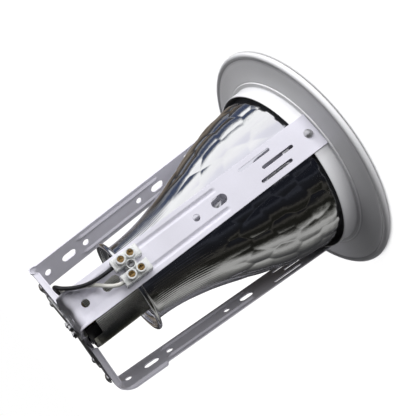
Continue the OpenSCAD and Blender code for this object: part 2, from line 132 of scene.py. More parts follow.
class Nodes:
    """A small helper that builds one node material."""

    def __init__(self, name):
        self.mat = bpy.data.materials.new(name)
        self.mat.use_nodes = True
        self.tree = self.mat.node_tree
        self.shader = self.tree.nodes["Principled BSDF"]
        self.coords = self.tree.nodes.new("ShaderNodeTexCoord").outputs["Object"]

    def set(self, **values):
        for name, value in values.items():
            self.shader.inputs[name.replace("_", " ")].default_value = value
        return self

    def link(self, source, socket):
        self.tree.links.new(source, self.shader.inputs[socket])

    def node(self, kind, inputs=None, **props):
        return add_node(self.tree, kind, inputs, **props)

    def noise(self, scale, detail=4.0, stretch=(1, 1, 1)):
        m = self.node("ShaderNodeMapping", {"Vector": self.coords, "Scale": stretch})
        return self.node("ShaderNodeTexNoise", {"Vector": m.outputs[0], "Scale": scale,
                         "Detail": detail, "Roughness": 0.55}).outputs["Fac"]

    def mottle(self, source, dark, light, edge=0.3):
        """Two shades mixed by a noise, flat beyond edge at both its ends."""
        return add_ramp(self.tree, source, [(edge, dark), (1 - edge, light)])

    def roughness(self, source, low, high):
        """Gloss that wanders with a noise."""
        spread = self.node("ShaderNodeMapRange", {"Value": source, "To Min": low, "To Max": high})
        self.link(spread.outputs["Result"], "Roughness")

    def painted_shade_inside(self, coat, inner):
        """Painted shade: the coat, darkened to inner of its lightness on the sides that face
        the lamp's axis, where the photograph shows them grey."""
        flat = self.node("ShaderNodeVectorMath", {0: self.coords, 1: (1.0, 1.0, 0.0)},
                         operation="MULTIPLY")
        outwards = self.node("ShaderNodeVectorMath", {0: flat.outputs[0]},
                             operation="NORMALIZE")
        normal = self.node("ShaderNodeNewGeometry").outputs["True Normal"]
        facing = self.node("ShaderNodeVectorMath", {0: outwards.outputs[0], 1: normal},
                           operation="DOT_PRODUCT")
        inside_shade = self.node("ShaderNodeMapRange", {
            "Value": facing.outputs["Value"], "From Min": -0.95, "From Max": 0.4,
            "To Min": inner, "To Max": 1.0}).outputs["Result"]
        return self.node("ShaderNodeVectorMath", {0: coat, "Scale": inside_shade},
                         operation="SCALE").outputs[0]

    def bump(self, height, strength, distance):
        n = self.node("ShaderNodeBump", {"Height": height, "Strength": strength,
                      "Distance": distance})
        self.link(n.outputs["Normal"], "Normal")


def painted(name, inner):
    """White paint on a leg, with painted shade on its sides towards the axis; inner is the
    lightness left there.
    """
    m = Nodes(name).set(Coat_Weight=0.25, Coat_Roughness=0.25)
    coat = m.mottle(m.noise(38.0), (0.68, 0.67, 0.74), (0.73, 0.72, 0.80))
    # painted shade: the coat is darkened on the sides that face the axis
    m.link(m.painted_shade_inside(coat, inner), "Base Color")
    m.roughness(m.noise(220.0), 0.3, 0.42)
    m.bump(m.noise(900.0, 2.0), 0.12, 0.0004)
    return m.mat


def trim_paint():
    m = Nodes("trim_paint").set(Specular_IOR_Level=0.25)
    coat = m.mottle(m.noise(30.0), (0.84, 0.84, 0.86), (0.88, 0.88, 0.90))
    # painted shade: faces towards the axis, such as the collar's inside, darkened to 0.15 of the
    # coat
    m.link(m.painted_shade_inside(coat, 0.15), "Base Color")
    m.roughness(m.noise(180.0), 0.4, 0.52)
    m.bump(m.noise(700.0, 2.0), 0.1, 0.0004)
    return m.mat


def mirror_aluminium():
    m = Nodes("mirror_aluminium").set(Metallic=1.0)
    streak = m.noise(60.0, 6.0, (1, 1, 0.18))
    m.link(m.mottle(streak, (0.80, 0.80, 0.82), (0.93, 0.93, 0.94), 0.25), "Base Color")
    m.roughness(m.noise(140.0, 6.0), 0.05, 0.17)
    m.bump(m.noise(260.0, 5.0), 0.22, 0.0005)
    return m.mat


def metal(name, dark, light, rough, grain=300.0, stretch=(1, 1, 1), bump=0.1, bare=1.0):
    """A metal; bare below 1 leaves some of the light unmirrored, like a dull film."""
    m = Nodes(name).set(Metallic=bare)
    m.link(m.mottle(m.noise(grain, 5.0, stretch), dark, light), "Base Color")
    m.roughness(m.noise(grain * 1.7, 4.0, stretch), rough * 0.7, rough * 1.3)
    m.bump(m.noise(grain * 3, 3.0, stretch), bump, 0.0002)
    return m.mat


def plastic(name, dark, light, rough, subsurface=0.0, transmission=0.0):
    m = Nodes(name).set(Subsurface_Weight=subsurface, Transmission_Weight=transmission)
    if subsurface:
        m.set(Subsurface_Scale=0.004, Subsurface_Radius=(1.0, 1.0, 1.0))
    m.link(m.mottle(m.noise(160.0), dark, light), "Base Color")
    m.roughness(m.noise(400.0), rough * 0.8, rough * 1.2)
    m.bump(m.noise(800.0, 2.0), 0.1, 0.0002)
    return m.mat


def sleeving():
    """Woven glass sleeving: fine slanted strands."""
    m = Nodes("glass_sleeving").set(Roughness=0.55)
    weave = m.node("ShaderNodeTexWave", {"Vector": m.coords, "Scale": 900.0,
                   "Distortion": 1.5, "Detail": 1.0}, wave_type="BANDS",
                   bands_direction="DIAGONAL").outputs["Fac"]
    m.link(m.mottle(weave, (0.66, 0.65, 0.6), (0.86, 0.85, 0.8), 0.0), "Base Color")
    m.bump(weave, 0.5, 0.0003)
    return m.mat


MAT = {
    # the second number is the painted shade on the sides towards the axis: light on most legs,
    # deep on leg_left
    "white_paint": painted("white_paint", 0.9),
    "shaded_side_leg_paint": painted("shaded_side_leg_paint", 0.5),
    "trim_paint": trim_paint(),
    "mirror_aluminium": mirror_aluminium(),
    "bright_steel": metal("bright_steel", (0.55, 0.55, 0.56), (0.78, 0.78, 0.78), 0.22),
    "dull_steel": metal("dull_steel", (0.14, 0.14, 0.13), (0.40, 0.40, 0.39), 0.22,
                        grain=700.0),
    "satin_steel": metal("satin_steel", (0.52, 0.52, 0.53), (0.66, 0.66, 0.67), 0.3,
                         bare=0.8),
    "zinc_steel": metal("zinc_steel", (0.42, 0.42, 0.43), (0.62, 0.62, 0.62), 0.34),
    "sleeve_metal": metal("sleeve_metal", (0.36, 0.36, 0.325), (0.46, 0.455, 0.41), 0.3,
                          grain=420.0, stretch=(1, 1, 3), bump=0.2),
    "nickel_brass": metal("nickel_brass", (0.62, 0.56, 0.4), (0.75, 0.69, 0.52), 0.25),
    "brass": metal("brass", (0.22, 0.13, 0.05), (0.50, 0.34, 0.14), 0.26, grain=700.0),
    "black_rubber": plastic("black_rubber", (0.012, 0.012, 0.012), (0.03, 0.03, 0.03), 0.55),
    "black_plastic": plastic("black_plastic", (0.012, 0.012, 0.013), (0.03, 0.03, 0.032), 0.3),
    "black_insulation": plastic("black_insulation", (0.008, 0.008, 0.009),
                                (0.02, 0.02, 0.022), 0.3),
    "milky_plastic": plastic("milky_plastic", (0.80, 0.82, 0.81), (0.88, 0.89, 0.88), 0.28,
                             subsurface=0.5, transmission=0.12),
    "white_sleeving": sleeving(),
}

# ---------------------------------------------------------------- mesh helpers


def new_object(name, verts, faces, slot, soften=35.0):
    """A mesh in millimetres, smooth but for edges sharper than soften degrees."""
    mesh = bpy.data.meshes.new(name)
    mesh.from_pydata((np.asarray(verts, float) * MM).tolist(), [], faces)
    obj = bpy.data.objects.new(name, mesh)
    bpy.context.scene.collection.objects.link(obj)
    return finish_mesh(obj, slot, soften)


def finish_mesh(obj, slot, soften=35.0):
    """Faces turned outwards, shading smoothed and the finish put on."""
    bm = bmesh.new()
    bm.from_mesh(obj.data)
    bmesh.ops.recalc_face_normals(bm, faces=bm.faces)
    bm.to_mesh(obj.data)
    bm.free()
    obj.data.shade_smooth()
    obj.data.set_sharp_from_angle(angle=radians(soften))
    obj.data.materials.clear()
    obj.data.materials.append(MAT[slot])
    return obj


def place(obj, slot, body, *nodes):
    """Rides on a body and stands for CAD nodes, which it hides; slot is not used."""
    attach(obj, body)
    if nodes:
        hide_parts(*nodes)
    return obj


def apply_modifiers(obj):
    bpy.context.view_layer.update()
    graph = bpy.context.evaluated_depsgraph_get()
    mesh = bpy.data.meshes.new_from_object(obj.evaluated_get(graph))
    obj.modifiers.clear()
    obj.data = mesh
    return obj


def soften_edges(obj, width, sharper_than):
    """A small bevel on the edges that turn by more than an angle in degrees."""
    mod = obj.modifiers.new("edge", "BEVEL")
    mod.width, mod.segments = width * MM, 2
    mod.limit_method, mod.angle_limit = "ANGLE", radians(sharper_than)
    return apply_modifiers(obj)


def ring_grid(rows, columns, closed_rows=True):
    """Faces of a grid that wraps round its columns, and round its rows too."""
    faces = []
    for i in range(rows if closed_rows else rows - 1):
        j = (i + 1) % rows
        for c in range(columns):
            d = (c + 1) % columns
            faces.append((i * columns + c, i * columns + d, j * columns + d, j * columns + c))
    return faces


def rings(points, steps):
    """Plain rings: each radius and height, the same all the way round."""
    return np.repeat(np.asarray(points, float)[:, None, :], steps, 1)


def turned(name, loop, slot, soften):
    """A closed loop of rings round Z; loop holds a radius and a height for each
    ring and each step round it, starting at -Y and going towards +X."""
    count, steps = loop.shape[:2]
    theta = np.arange(steps) * 2 * pi / steps
    verts = np.stack([loop[..., 0] * np.sin(theta), -loop[..., 0] * np.cos(theta),
                      loop[..., 1]], -1).reshape(-1, 3)
    return new_object(name, verts, ring_grid(count, steps), slot, soften)


def arc(cx, cy, r, start, end, n):
    """Points of an arc, angles in degrees."""
    return [(cx + r * cos(radians(start + (end - start) * i / n)),
             cy + r * sin(radians(start + (end - start) * i / n))) for i in range(n + 1)]


def cut(obj, cutters):
    """Takes the cutters out of obj and removes them."""
    for c in cutters:
        mod = obj.modifiers.new("cut", "BOOLEAN")
        mod.object, mod.operation, mod.solver = c, "DIFFERENCE", "EXACT"
    apply_modifiers(obj)
    for c in cutters:
        bpy.data.objects.remove(c)
    return obj


def prism(outline, low, high, matrix):
    """A cutter: a closed outline in X and Y between two heights, moved by matrix."""
    n = len(outline)
    verts = [(x, y, z) for z in (low, high) for x, y in outline]
    faces = [tuple(range(n - 1, -1, -1)), tuple(range(n, 2 * n))]
    faces += [(i, (i + 1) % n, n + (i + 1) % n, n + i) for i in range(n)]
    obj = new_object("cutter", verts, faces, "zinc_steel")
    m = Matrix(matrix)
    m.translation *= MM
    obj.data.transform(m)
    return obj


def hole(matrix, width, length=0.0):
    """A cutter for a slot that is long along its own Y, or for a round hole."""
    r, n = width / 2, 12
    e = max(length - width, 0.01) / 2      # above 0, so that no two points coincide
    outline = arc(0, e, r, 0, 180, n) + arc(0, -e, r, 180, 360, n)
    return prism(outline, -6, 6, matrix)


def refine(node, slot, bevel):
    """The CAD node's own shape as a piece with softened edges. Its triangles are
    first welded and joined to flat faces, so that only real edges are softened."""
    weld, flat, edge_angle = 2e-6, 0.6, 32       # metres, degrees, degrees
    source = frame["nodes"][node]
    obj = bpy.data.objects.new(node + "_finished", source.data.copy())
    bpy.context.scene.collection.objects.link(obj)
    bm = bmesh.new()
    bm.from_mesh(obj.data)
    bmesh.ops.remove_doubles(bm, verts=bm.verts, dist=weld)
    bmesh.ops.dissolve_limit(bm, angle_limit=radians(flat), verts=bm.verts, edges=bm.edges)
    bm.to_mesh(obj.data)
    bm.free()
    return finish_mesh(soften_edges(obj, bevel, edge_angle), slot)


def tube_object(name, points, radius, sides, slot, spline=6):
    """A smooth round tube through points, closed at both ends, and its path."""
    p = np.asarray(points, float)
    path = []
    for i in range(len(p) - 1):
        a, b, c, d = p[max(i - 1, 0)], p[i], p[i + 1], p[min(i + 2, len(p) - 1)]
        for t in np.arange(spline) / spline:
            path.append(0.5 * (2 * b + (c - a) * t + (2 * a - 5 * b + 4 * c - d) * t ** 2
                               + (3 * b - a - 3 * c + d) * t ** 3))
    path = np.array(path + [p[-1]])
    tangent = np.gradient(path, axis=0)
    tangent /= np.linalg.norm(tangent, axis=1)[:, None]
    side = np.cross(tangent[0], (0.3, 0.9, 0.1))
    verts = []
    for q, t in zip(path, tangent):
        side = side - t * (side @ t)
        side /= np.linalg.norm(side)
        other = np.cross(t, side)
        for k in range(sides):
            a = 2 * pi * k / sides
            verts.append(q + radius * (cos(a) * side + sin(a) * other))
    faces = ring_grid(len(path), sides, closed_rows=False)
    n = len(verts)
    faces += [tuple(range(sides)), tuple(range(n - 1, n - sides - 1, -1))]
    return new_object(name, verts, faces, slot), path


# ---------------------------------------------------------------- camera
# The photograph faces the front leg, from a little to its left and from higher
# up towards the hub, and is turned so that the lamp's axis runs from upper right
# to lower left.

camera_data = bpy.data.cameras.new("camera")
camera_data.sensor_width = 36.0
camera_data.lens = 64.59
camera = bpy.data.objects.new("camera", camera_data)
bpy.context.scene.collection.objects.link(camera)
bpy.context.scene.camera = camera

VIEW_AZ, VIEW_EL, VIEW_ROLL = radians(-9.78), radians(17.1), radians(-126.37)
VIEW_DISTANCE = 557.1
VIEW_TARGET = Vector((11.8, 0.0, 81.8))
back = Vector((sin(VIEW_AZ) * cos(VIEW_EL), -cos(VIEW_AZ) * cos(VIEW_EL), sin(VIEW_EL)))
level = (-back).cross(Vector((0, 0, 1))).normalized()
above = level.cross(-back)
right = level * cos(VIEW_ROLL) + above * sin(VIEW_ROLL)
up = above * cos(VIEW_ROLL) - level * sin(VIEW_ROLL)
turn = Matrix((right, up, back)).transposed().to_4x4()
camera.matrix_world = Matrix.Translation((VIEW_TARGET + back * VIEW_DISTANCE) * MM) @ turn

# -------------------------------------------------------------- trim ring


def trim_ring():
    rim = 2.3                    # radius of the rounded outer edge
    roll = 0.6                   # radius of the collar's rolled top
    mouth = 64.0                 # radius of the opening
    inside = COLLAR_R - 0.9      # inner face of the collar
    edge = FLANGE_R - rim
    slope_out, slope_in = FLANGE_R - 7.0, COLLAR_R + 4.6
    outline = arc(edge, rim, rim, -90, 90, 14)
    outline += [(edge - 1.2, 4.45), (FLANGE_R - 4.6, 4.1), (slope_out, 4.6)]
    # the flange rises towards the collar
    outline += [(slope_in + (slope_out - slope_in) * t, 6.75 - 2.1 * t)
                for t in (0.9, 0.7, 0.5, 0.3, 0.15, 0.03)]
    # the step ring round the collar's foot
    outline += arc(COLLAR_R + 4.1, 7.15, 0.5, 250, 180, 3)
    outline += arc(COLLAR_R + 3.2, 7.25, 0.45, 0, 90, 3) + [(COLLAR_R + 2.0, 7.72)]
    outline += arc(COLLAR_R + 0.9, 8.55, 0.85, 270, 180, 4)
    # up the collar, over its rolled top and down its inside
    outline += [(COLLAR_R, 11.0), (COLLAR_R, 15.0), (COLLAR_R, COLLAR_TOP - 2 * roll)]
    outline += arc(COLLAR_R - roll, COLLAR_TOP - roll, roll, 0, 180, 6)
    outline += [(inside, COLLAR_TOP - 1.6), (inside, 12.0), (inside, 4.7)]
    # the lip round the mouth, and the flange's hollow front
    outline += [(mouth, 3.6), (mouth, 2.6), (COLLAR_R + 3, 4.6), (FLANGE_R - 10, 3.4),
                (FLANGE_R - 7.6, 2.6), (slope_out, 0.4), (FLANGE_R - 6.5, 0)]
    obj = turned("trim_ring_spun", rings(outline, 256), "trim_paint", 50.0)
    return place(obj, "trim_paint", "root", "trim_ring")


# -------------------------------------------------------------- reflector

BELL_FOOT = 12.0                 # height where the bell turns into its rim band
MOUTH_R, NECK_R, LIP_R = 66.0, 31.0, 37.5
NECK_Z = bell_high[2] - 5.1
SPUN = 0.8                       # thickness of the aluminium
FLUTES, FLUTE = 120, 0.12        # count and depth of the flutes below the neck
FACETS, FACET_H = 24, 17.0       # dents in one row, and the height of a row
FACET_Z0, FACET_Z1 = 20.0, 110.0   # lower and upper end of the dents
DENT, CRUMPLE, WAIST = 1.0, 0.07, 0.9
WAVES = [  # depth, waves round the bell, slant, start
    (0.1, 5, 0.06, 0.0), (0.08, 3, -0.09, 0.0), (0.05, 11, 0.2, 1.0), (0.04, 17, -0.16, 0.0)]


def bell_radius(z):
    down = (NECK_Z - z) / (NECK_Z - BELL_FOOT)
    return NECK_R + (MOUTH_R - NECK_R) * (1 - np.cos(pi * down)) / 2


def hammered(theta, z):
    """Soft dents: each point belongs to the nearest centre of a jittered grid.
    Returns its squared distance from there, 0 at the centre to about 1."""
    rng = np.random.default_rng(7)
    rows = int((FACET_Z1 - FACET_Z0) / FACET_H) + 3
    jitter = rng.uniform(-0.3, 0.3, (rows, FACETS, 2))
    nearest = np.full(np.broadcast(theta, z).shape, 9.0)
    row = (z - FACET_Z0) / FACET_H
    column = theta * FACETS / (2 * pi)
    for r in range(rows):
        for c in range(FACETS):
            u = column - (c + 0.5 * (r % 2) + jitter[r, c, 0])
            u = u - FACETS * np.round(u / FACETS)
            v = row - (r - 0.5 + jitter[r, c, 1])
            nearest = np.minimum(nearest, u * u + 0.7 * v * v)
    return nearest * 2.2


def bell_surface(t, z):
    """Radius of the bell's outer face, dents and all, at an angle and a height."""
    above_band = smooth(z, BELL_FOOT, BELL_FOOT + 6)
    dented = smooth(z, BELL_FOOT, FACET_Z0 + 2) * (1 - smooth(z, FACET_Z1 - 25, FACET_Z1))
    dents = -DENT * np.clip(hammered(t, z), 0, 1.2)
    # fine crumples low on the bell
    crumple = np.sin(31 * t + 0.5 * z) * np.sin(23 * t - 0.62 * z + 1)
    crumple = CRUMPLE * crumple * (1 - smooth(z, 30, 60))
    fluted = smooth(z, FACET_Z1 - 5, FACET_Z1 + 15) * (1 - smooth(z, NECK_Z - 8, NECK_Z - 1))
    flutes = -FLUTE * (1 - np.abs(np.sin(t * FLUTES / 2)))
    waves = sum(depth * np.sin(count * t + slant * z + start)
                for depth, count, slant, start in WAVES)
    # the bell draws in a little just above its rim band
    waist = -WAIST * (1 - smooth(z, 26, 60))
    return (bell_radius(z) + (dents + crumple) * dented + flutes * fluted
            + (waves + waist) * above_band)


def reflector():
    """The bell as one loop: outer face up, neck's rolled lip, inner face down, band."""
    steps = FLUTES * 4
    theta = np.arange(steps) * 2 * pi / steps
    heights = np.concatenate([np.linspace(BELL_FOOT, FACET_Z0, 10, endpoint=False),
                              np.linspace(FACET_Z0, FACET_Z1 + 4, 110, endpoint=False),
                              np.linspace(FACET_Z1 + 4, NECK_Z, 40)])
    t, z = np.meshgrid(theta, heights)
    r = bell_surface(t, z)
    outer = np.stack([r, z], -1)
    inner = np.stack([r - SPUN, z], -1)[::-1]
    neck = [(NECK_R + 0.5, NECK_Z + 0.9), (NECK_R + 1.8, NECK_Z + 1.6),
            (LIP_R - 2.4, NECK_Z + 1.9)]
    neck += arc(LIP_R - 1.7, NECK_Z + 3.4, 1.7, -75, 210, 16)
    neck += [(LIP_R - 4, NECK_Z + 2.7), (NECK_R + 1.0, NECK_Z + 2.4),
             (NECK_R - 0.2, NECK_Z + 1.4)]
    bead = MOUTH_R + 1.3
    band = [(MOUTH_R - SPUN, 9), (MOUTH_R - SPUN, 5.2), (bead, 5.2), (bead, 6.0),
            (MOUTH_R + 0.1, 6.0), (MOUTH_R, 6.3), (MOUTH_R, 9)]
    loop = np.concatenate([outer, rings(neck, steps), inner, rings(band, steps)])
    obj = turned("reflector_spun", loop, "mirror_aluminium", 60.0)
    return place(obj, "mirror_aluminium", "root", "reflector")


# -------------------------------------------------------------------- legs

TAB_Z = 7.75                     # the tab stands on the collar's step ring
COLLAR_RIVET_Z, BLOCK_Z = 14.4, 165.0         # BLOCK_Z: the terminal block's screw
FRONT_FOOT_END, SIDE_FOOT_END = -8.0, 15.4    # from the axis
SCREW_R, RIVET_R, OVAL_R, HUB_R = 47.0, 29.0, 36.0, 4.6   # holes of the feet, from the axis
GROOVE_X, GROOVE_Z = 8.0, (90.0, 172.0)
GROOVE_HALF, GROOVE_DEPTH = 1.9, 1.35
LIP_Z, LIP_H = 196.0, 2.15       # raised edges of the front leg, from this height
SUNK = 4.8                       # how far the front leg's middle sinks at its bend
RIDGE = 0.5                      # slanting ridge beside the sunk middle
FOLD_Z, FOLD_H = 172.0, 2.3      # folded edge of leg_left, from this height
EDGE_H = 3.55                    # turned-down edges of the side feet
DIMPLE, DIMPLE_R = 1.2, 13.0     # stiffening dimple in each bend
SEAT_DEPTH = 1.9                 # pressed seat round leg_right's screw
POINT_H = 3.2                    # pointed corner of leg_right's bend

HOLES = [  # height, sideways place, width, length
    (201.0, 0.0, 5.5, 5.5), (181.0, 0.0, 6.5, 12.5), (BLOCK_Z, 0.0, 5.5, 5.5),
    (112.0, 0.0, 5.0, 5.0), (93.0, 0.0, 7.0, 12.0),
    (56.6, 7.9, 2.5, 27.0), (42.2, 0.0, 2.5, 27.0), (48.8, -7.4, 2.5, 27.0)]


def leg_path(foot_end, bend):
    """The leg's inner face in side view, from the tab to the foot's end: radius,
    height and the two parts of its outward normal. Also the bend's centre."""
    s_bend = (FOOT_Z - bend + bend * sin(LEAN) - LEG_Z0) / cos(LEAN)
    tab = [(LEG_R0, z, 1.0, 0.0) for z in np.linspace(TAB_Z, LEG_Z0 - 1.5, 16)]
    strip = [(LEG_R0 - s * sin(LEAN), LEG_Z0 + s * cos(LEAN), cos(LEAN), sin(LEAN))
             for s in np.linspace(0.5, s_bend, 230)]
    cr = LEG_R0 - s_bend * sin(LEAN) - bend * cos(LEAN)
    cz = LEG_Z0 + s_bend * cos(LEAN) - bend * sin(LEAN)
    turn_over = [(cr + bend * cos(a), cz + bend * sin(a), cos(a), sin(a))
                 for a in np.linspace(LEAN, pi / 2, 14)[1:]]
    foot = [(r, FOOT_Z, 0.0, 1.0) for r in np.arange(cr - 0.9, foot_end - 0.1, -0.9)]
    end = [(foot_end, FOOT_Z, 0.0, 1.0)]
    return np.array(tab + strip + turn_over + foot + end), (cr, cz)


def front_relief(u, r, z):
    """The front leg's raised lips run round its bend, and its middle sinks."""
    lip = smooth(np.abs(u), LEG_W / 2 - 2.2, LEG_W / 2 - 0.7)
    out = LIP_H * lip * smooth(z, LIP_Z, LIP_Z + 8) * smooth(r, 17.0, 22.0)
    middle = 1 - smooth(np.abs(u + 1.5), 4.0, LEG_W / 2 - 1.8)
    out = out - SUNK * middle * smooth(z, 173, 188) * (1 - smooth(z, 199, FOOT_Z))
    ridge = np.exp(-((u - 7.5 + 0.32 * (z - 190)) / 1.6) ** 2)
    return out + RIDGE * ridge * smooth(z, 180, 190) * (1 - smooth(z, 204, 209))


def leg_relief(name, u, r, z, corner):
    """How far the stamped sheet stands out of its plane, at a place across the
    strip, a radius and a height; corner is the centre of the bend."""
    groove = np.clip(1 - ((np.abs(u) - GROOVE_X) / GROOVE_HALF) ** 2, 0, 1) ** 1.5
    low, high = GROOVE_Z
    out = -GROOVE_DEPTH * groove * smooth(z, low, low + 3) * (1 - smooth(z, high - 6, high))
    on_foot_plane = z > FOOT_Z - 0.5
    if name == "leg_front":
        out = out + front_relief(u, r, z)
    if name == "leg_left":  # one edge is folded outwards short of the bend
        fold = smooth(u, LEG_W / 2 - 1.4, LEG_W / 2 - 0.2)
        out = out + FOLD_H * fold * smooth(z, FOLD_Z, FOLD_Z + 1.5) * (1 - smooth(z, 200, 209))
    if name != "leg_front":  # the side feet have turned-down edges
        turned_down = smooth(np.abs(u), LEG_W / 2 - 1.3, LEG_W / 2 - 0.5)
        along = smooth(r, SIDE_FOOT_END + 0.5, SIDE_FOOT_END + 1.4) * (1 - smooth(r, 49.0, 53.5))
        out = np.where(on_foot_plane, out - EDGE_H * turned_down * along, out)
    away = np.hypot(r - corner[0] - 2, z - corner[1] - 2)
    dimple = np.clip(1 - (away / DIMPLE_R) ** 2, 0, 1) ** 1.5 * np.exp(-(u / 4.0) ** 2)
    out = out - DIMPLE * dimple
    if name == "leg_right":
        seat = 1 - smooth(np.hypot(r - SCREW_R, u), 6.2, 10.0)
        out = np.where(on_foot_plane, out * (1 - seat) - SEAT_DEPTH * seat, out)
        at_bend = np.hypot(r - corner[0] - 4.0, z - corner[1] - 4.0)
        at_edge = smooth(-u, LEG_W / 2 - 4, LEG_W / 2 - 0.5)
        out = out + POINT_H * np.clip(1 - at_bend / 4.0, 0, 1) * at_edge
    return out


def on_strip(azimuth, height, lean=0.0, x=0.0, radius=0.0):
    """Matrix for a cutter whose Z points outwards through a leg and whose Y
    runs along it, at a height on the leg."""
    along = Vector((0, sin(lean), cos(lean)))
    out = Vector((0, -cos(lean), sin(lean)))
    m = Matrix((along.cross(out), along, out)).transposed().to_4x4()
    m.translation = Vector((x, -radius, height))
    return Matrix.Rotation(azimuth, 4, "Z") @ m


def on_foot(azimuth, radius):
    """Matrix for a cutter that goes through a foot, its Y along the foot."""
    return Matrix.Rotation(azimuth, 4, "Z") @ Matrix.Translation((0, -radius, FOOT_Z))


def leg_holes(name):
    """Cutters for the strip's slots and holes, and for those in the foot."""
    azimuth = LEG_AZ[name]
    cutters = []
    for height, x, width, length in HOLES:
        lean = LEAN if height > LEG_Z0 else 0.0
        radius = LEG_R0 - (height - LEG_Z0) * np.tan(LEAN)
        cutters.append(hole(on_strip(azimuth, height, lean, x, radius), width, length))
    cutters.append(hole(on_strip(azimuth, COLLAR_RIVET_Z, radius=LEG_R0), 4.0))
    if name == "leg_front":
        cutters.append(hole(on_foot(azimuth, OVAL_R), 6.0, 9.0))
        for k in range(3):
            b = radians(30 + 120 * k)
            hub_place = Matrix.Translation((HUB_R * cos(b), HUB_R * sin(b), FOOT_Z))
            cutters.append(hole(hub_place, 3.3))
    else:
        cutters.append(hole(on_foot(azimuth, SCREW_R), 4.2))
        cutters.append(hole(on_foot(azimuth, RIVET_R), 3.2))
    return cutters


def leg(name, foot_end):
    """A leg as pressed sheet: a grid along and across the strip for each of its
    faces, joined round the edge, with the holes cut and the edges softened."""
    path, corner = leg_path(foot_end, BEND_R[name])
    u = np.linspace(-LEG_W / 2, LEG_W / 2, 65)
    r, z, nr, nz = (path[:, k:k + 1] for k in range(4))
    relief = leg_relief(name, u[None], r, z, corner)
    rows, columns = relief.shape
    across = np.broadcast_to(u, relief.shape)
    sheets = [np.stack([across, -r - nr * (relief + d), z + nz * (relief + d)], -1).reshape(-1, 3)
              for d in (SHEET, 0.0)]
    n = rows * columns
    faces = []
    for i in range(rows - 1):
        for c in range(columns - 1):
            a, b = i * columns + c, (i + 1) * columns + c
            faces += [(a, a + 1, b + 1, b), (n + b, n + b + 1, n + a + 1, n + a)]
    # once round the sheet's edge, which joins its outer face to its inner one
    border = ([i * columns for i in range(rows)]
              + [(rows - 1) * columns + c for c in range(1, columns)]
              + [i * columns + columns - 1 for i in range(rows - 2, -1, -1)]
              + list(range(columns - 2, 0, -1)))
    faces += [(a, b, n + b, n + a) for a, b in zip(border, border[1:] + border[:1])]
    c, s = cos(LEG_AZ[name]), sin(LEG_AZ[name])
    spin = np.array([[c, -s, 0], [s, c, 0], [0, 0, 1]])
    # leg_left takes the paint with the deeper painted shade on its inner face
    paint = "shaded_side_leg_paint" if name == "leg_left" else "white_paint"
    obj = new_object(name + "_stamped", np.concatenate(sheets) @ spin.T, faces, paint)
    soften_edges(cut(obj, leg_holes(name)), 0.16, 50)
    return place(finish_mesh(obj, paint, 42.0), paint, "root", name)


# -------------------------------------------------------------- lampholder


def holder_sleeve():
    """The lampholder's ribbed sleeve, with a notch in its rear end for the leads."""
    ribs, rib_h = 104, 0.4
    steps = ribs * 4
    theta = np.arange(steps) * 2 * pi / steps
    rib = rib_h * np.clip(np.cos(theta * ribs), -0.5, 0.75)
    low, high = sleeve_low[2], sleeve_high[2]
    levels = [(low, 0), (low + 0.8, 0), (low + 1.6, 1), (high - 9, 1), (high - 3.0, 1),
              (high - 2.2, 0.2), (high - 0.3, 0)]   # height, and share of the ribs there
    outer = [np.stack([SLEEVE_R - 0.32 + share * rib, np.full(steps, z)], -1)
             for z, share in levels]
    inner_r = SLEEVE_R - 1.05
    inner = rings([(inner_r, high - 0.3), (inner_r, low)], steps)
    obj = turned("holder_sleeve_ribbed", np.concatenate([outer, inner]), "sleeve_metal", 40.0)
    half, front, bottom, top = 16.5, -30.0, 199.2, 230.0
    notch = [(-half, front), (half, front), (half, 0), (-half, 0)]
    cut(obj, [prism(notch, bottom, top, Matrix.Identity(4))])
    finish_mesh(obj, "sleeve_metal", 40.0)
    return place(obj, "sleeve_metal", "root", "holder_sleeve")


# ----------------------------------------------------------- leads
# The same points as in the CAD source, millimetres.

BLACK_ROUTE = [
    (5.8, -65.3, 173.9), (5.8, -65.3, 176), (5.7, -65.3, 179), (5.6, -65.3, 182.4),
    (5.7, -65.4, 186), (6.1, -65.5, 190), (6.9, -65.6, 194.4), (8.3, -65.7, 198.6),
    (10.2, -65.6, 202.4), (12.6, -65, 205.8), (15.2, -63.4, 208.4), (17.7, -60.6, 209.9),
    (19.1, -57, 210.5), (19.1, -53.4, 210.5), (17.9, -50.1, 210.1), (15.6, -47, 209.3),
    (13.4, -43.4, 208.3), (11.4, -38.8, 206.8), (9.6, -33.8, 204.9), (7.8, -28.6, 203),
    (6.2, -23.6, 201.5), (5.4, -19, 201.1), (5.2, -14.6, 201)]
WHITE_ROUTE = [
    (-5.8, -65.3, 173.9), (-5.7, -65.2, 176), (-5, -64.7, 178.9), (-3.3, -63.9, 182),
    (-0.8, -63.1, 184.9), (2, -62.5, 187.8), (4.6, -62.3, 190.9), (6.8, -62.4, 194.4),
    (8.8, -62.6, 198.1), (10.7, -62.6, 201.7), (12.9, -61.8, 204.9), (15, -59.9, 207.2),
    (16.2, -56.6, 208.2), (16, -53, 208), (14.6, -49.4, 207.4), (12, -45.7, 206.5),
    (8.8, -41.9, 205.5), (5.2, -37.8, 204.5), (1.6, -33.2, 203.3), (-1.6, -28.4, 202.1),
    (-3.9, -23.7, 201.4), (-5, -19, 201.1), (-5.2, -14.6, 201)]
LEAD_D = 2.7


def lead(name, route, slot, node):
    """A lead as a round tube along its route."""
    obj, path = tube_object(name, route, LEAD_D / 2, 20, slot)
    place(obj, slot, "root", node)


# -------------------------------------------------------------- contact spring


def contact_spring():
    """The coil behind the socket's contact, at the length of its CAD node."""
    low, high = span("contact_spring")
    wire, coil_r, turns, per_turn = 0.5, 2.9, 3, 24
    height = high[2] - low[2]
    n = turns * per_turn
    points = [(coil_r * cos(2 * pi * i / per_turn), coil_r * sin(2 * pi * i / per_turn),
               low[2] + wire / 2 + (height - wire) * i / n) for i in range(n + 1)]
    obj, _ = tube_object("contact_spring_coil", points, wire / 2, 10, "bright_steel", 2)
    place(obj, "bright_steel", "root", "contact_spring")
    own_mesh(obj)


# ---------------------------------------------------------------- build it all

